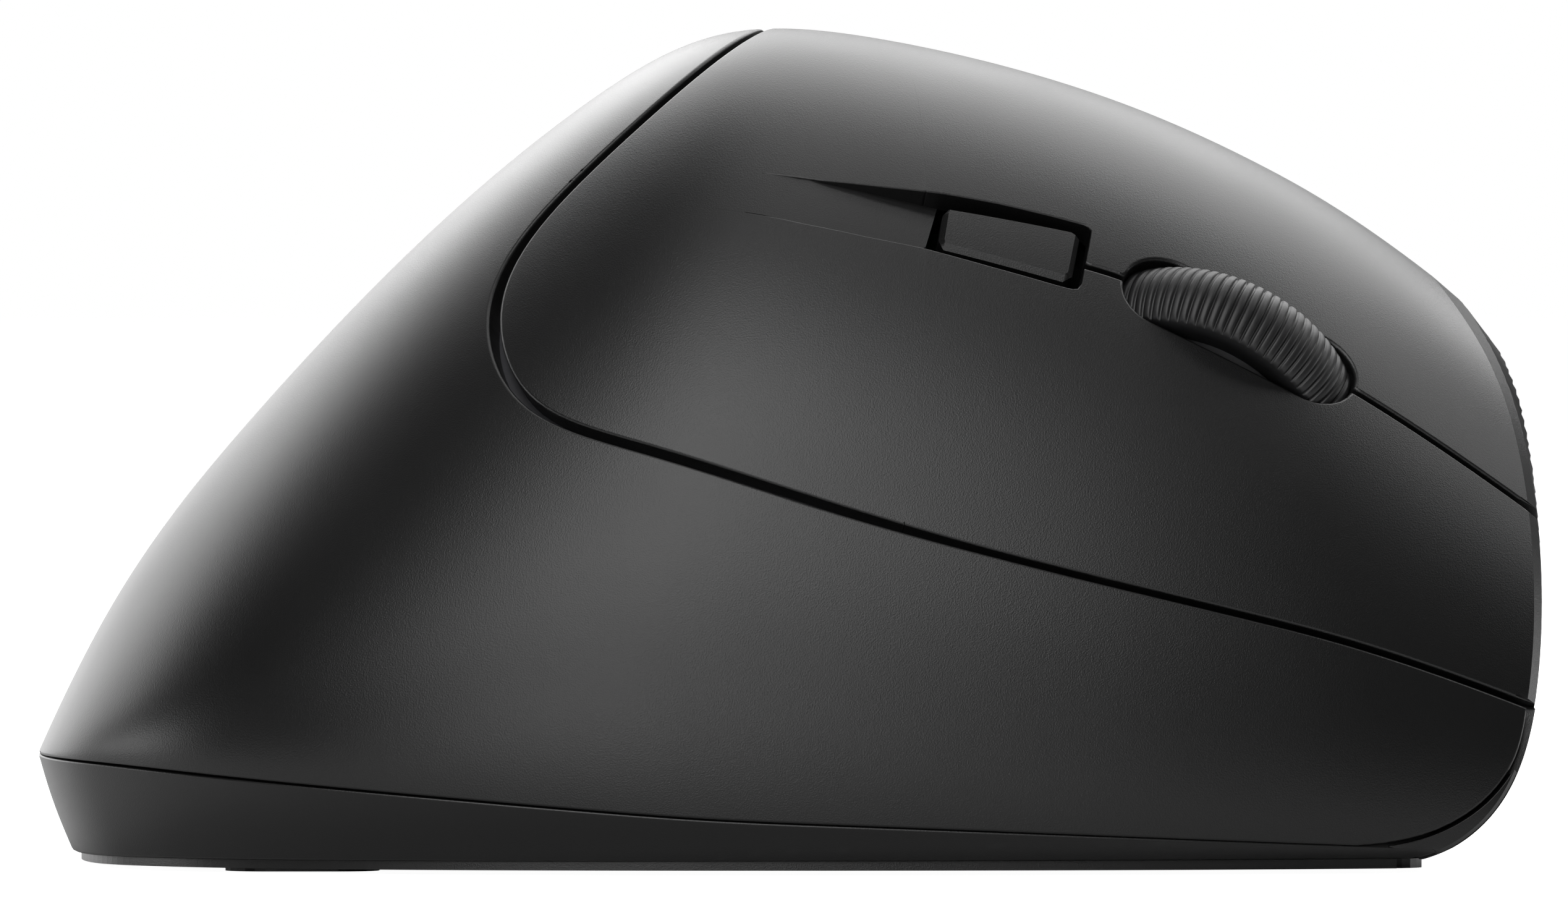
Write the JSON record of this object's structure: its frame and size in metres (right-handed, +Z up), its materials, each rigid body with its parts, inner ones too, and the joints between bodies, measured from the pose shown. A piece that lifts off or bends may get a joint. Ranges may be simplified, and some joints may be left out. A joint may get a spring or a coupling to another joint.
{
  "type": "vertical ergonomic mouse",
  "caption": "Right-hand vertical computer mouse: slanted finger plate with press keys, resolution button and ribbed scroll wheel on a domed matte black body over a tray base.",
  "frame": {"origin": "middle of the bounding box in plan, on the desk plane under the feet", "axes": "+X forward to the nose, +Y to the thumb side, +Z up"},
  "size_m": [0.1119, 0.0757, 0.0622],
  "materials": {
    "shell_black": "fine leather-like spark texture, matte",
    "thumb_panel_black": "soft matte grip",
    "base_black": "smooth matte",
    "button_black": "smooth satin",
    "tyre_rubber": "ribbed, matte",
    "hub_grey": "satin",
    "inner_plastic": "plain moulded",
    "component_black": "plain moulded",
    "plunger_red": "plain moulded",
    "part_white": "plain moulded",
    "board_green": "lacquered",
    "lens_clear": "clear moulding",
    "cell_wrap": "printed wrap, unmarked",
    "steel": "nickel plated",
    "foot_glide": "slick glide sheet"
  },
  "bodies": {
    "body": {"base": "base_black", "body_shell": "shell_black", "thumb_panel": "thumb_panel_black", "finger_plate": "shell_black", "yoke_guides": "steel", "switch_board": "board_green", "switch_frame": "inner_plastic", "upper_switch": "component_black", "lower_switch": "component_black", "wheel_switch": "component_black", "resolution_switch": "component_black", "thumb_board": "board_green", "forward_switch": "component_black", "back_switch": "component_black", "pulse_emitter": "component_black", "pulse_detector": "component_black", "main_board": "board_green", "sensor": "component_black", "sensor_lens": "lens_clear", "ribbon_cable": "part_white", "battery_cradle": "inner_plastic", "left_cell": "cell_wrap", "right_cell": "cell_wrap", "rear_contacts": "steel", "front_contacts": "steel", "power_switch": "component_black", "front_foot": "foot_glide", "left_rear_foot": "foot_glide", "right_rear_foot": "foot_glide", "left_screw": "steel", "right_screw": "steel"},
    "upper_key": {"upper_key": "shell_black"},
    "lower_key": {"lower_key": "shell_black"},
    "upper_plunger": {"upper_plunger": "plunger_red"},
    "lower_plunger": {"lower_plunger": "plunger_red"},
    "resolution_button": {"resolution_button": "button_black"},
    "resolution_plunger": {"resolution_plunger": "part_white"},
    "wheel_yoke": {"wheel_yoke": "inner_plastic"},
    "wheel": {"wheel_tyre": "tyre_rubber", "wheel_hub": "hub_grey"},
    "wheel_plunger": {"wheel_plunger": "part_white"},
    "forward_button": {"forward_button": "button_black"},
    "forward_plunger": {"forward_plunger": "part_white"},
    "back_button": {"back_button": "button_black"},
    "back_plunger": {"back_plunger": "part_white"},
    "power_slider": {"power_slider": "part_white"},
    "battery_door": {"battery_door": "base_black"},
    "receiver": {"receiver_plug": "steel", "receiver_cap": "component_black"}
  },
  "joints": [
    {"name": "upper_key_press", "type": "hinge", "parent": "body", "child": "upper_key", "pos_m": [0.00879, -0.02221, 0.03918], "axis": [0, 0.7071, 0.7071], "range_deg": [0, 0.75], "stiffness_Nm_per_rad": 0.4, "springref_deg": -2.86},
    {"name": "lower_key_press", "type": "hinge", "parent": "body", "child": "lower_key", "pos_m": [0.00879, -0.02221, 0.03918], "axis": [0, 0.7071, 0.7071], "range_deg": [0, 0.75], "stiffness_Nm_per_rad": 0.4, "springref_deg": -2.86},
    {"name": "upper_plunger_travel", "type": "slide", "parent": "body", "child": "upper_plunger", "axis": [-0.309, 0.6725, -0.6725], "range_m": [0, 0.00038]},
    {"name": "lower_plunger_travel", "type": "slide", "parent": "body", "child": "lower_plunger", "axis": [-0.309, 0.6725, -0.6725], "range_m": [0, 0.00038]},
    {"name": "resolution_press", "type": "slide", "parent": "body", "child": "resolution_button", "axis": [-0.309, 0.6725, -0.6725], "range_m": [0, 0.00045], "stiffness_N_per_m": 200, "springref_m": -0.002},
    {"name": "resolution_plunger_travel", "type": "slide", "parent": "body", "child": "resolution_plunger", "axis": [-0.309, 0.6725, -0.6725], "range_m": [0, 0.00045]},
    {"name": "wheel_press", "type": "slide", "parent": "body", "child": "wheel_yoke", "axis": [-0.309, 0.6725, -0.6725], "range_m": [0, 0.00045], "stiffness_N_per_m": 300, "springref_m": -0.002},
    {"name": "wheel_plunger_travel", "type": "slide", "parent": "body", "child": "wheel_plunger", "axis": [-0.309, 0.6725, -0.6725], "range_m": [0, 0.00045]},
    {"name": "wheel_spin", "type": "hinge", "parent": "wheel_yoke", "child": "wheel", "pos_m": [0.03055, -0.01328, 0.03365], "axis": [0.3175, 0.7395, 0.5936], "continuous": true},
    {"name": "forward_press", "type": "slide", "parent": "body", "child": "forward_button", "axis": [0, -1, 0], "range_m": [0, 0.00045], "stiffness_N_per_m": 200, "springref_m": -0.002},
    {"name": "forward_plunger_travel", "type": "slide", "parent": "body", "child": "forward_plunger", "axis": [0, -1, 0], "range_m": [0, 0.00045]},
    {"name": "back_press", "type": "slide", "parent": "body", "child": "back_button", "axis": [0, -1, 0], "range_m": [0, 0.00045], "stiffness_N_per_m": 200, "springref_m": -0.002},
    {"name": "back_plunger_travel", "type": "slide", "parent": "body", "child": "back_plunger", "axis": [0, -1, 0], "range_m": [0, 0.00045]},
    {"name": "power_slide", "type": "slide", "parent": "body", "child": "power_slider", "axis": [1, 0, 0], "range_m": [0, 0.0025]},
    {"name": "door_removal", "type": "slide", "parent": "body", "child": "battery_door", "axis": [0, 0, -1], "range_m": [0, 0.012]},
    {"name": "receiver_removal", "type": "slide", "parent": "body", "child": "receiver", "axis": [0, 0, -1], "range_m": [0, 0.012]}
  ],
  "couplings": [
    {"joint": "upper_plunger_travel", "follows": "upper_key_press", "m_per_rad": 0.02905},
    {"joint": "lower_plunger_travel", "follows": "lower_key_press", "m_per_rad": 0.02905},
    {"joint": "resolution_plunger_travel", "follows": "resolution_press", "ratio": 1},
    {"joint": "wheel_plunger_travel", "follows": "wheel_press", "ratio": 1},
    {"joint": "forward_plunger_travel", "follows": "forward_press", "ratio": 1},
    {"joint": "back_plunger_travel", "follows": "back_press", "ratio": 1}
  ]
}
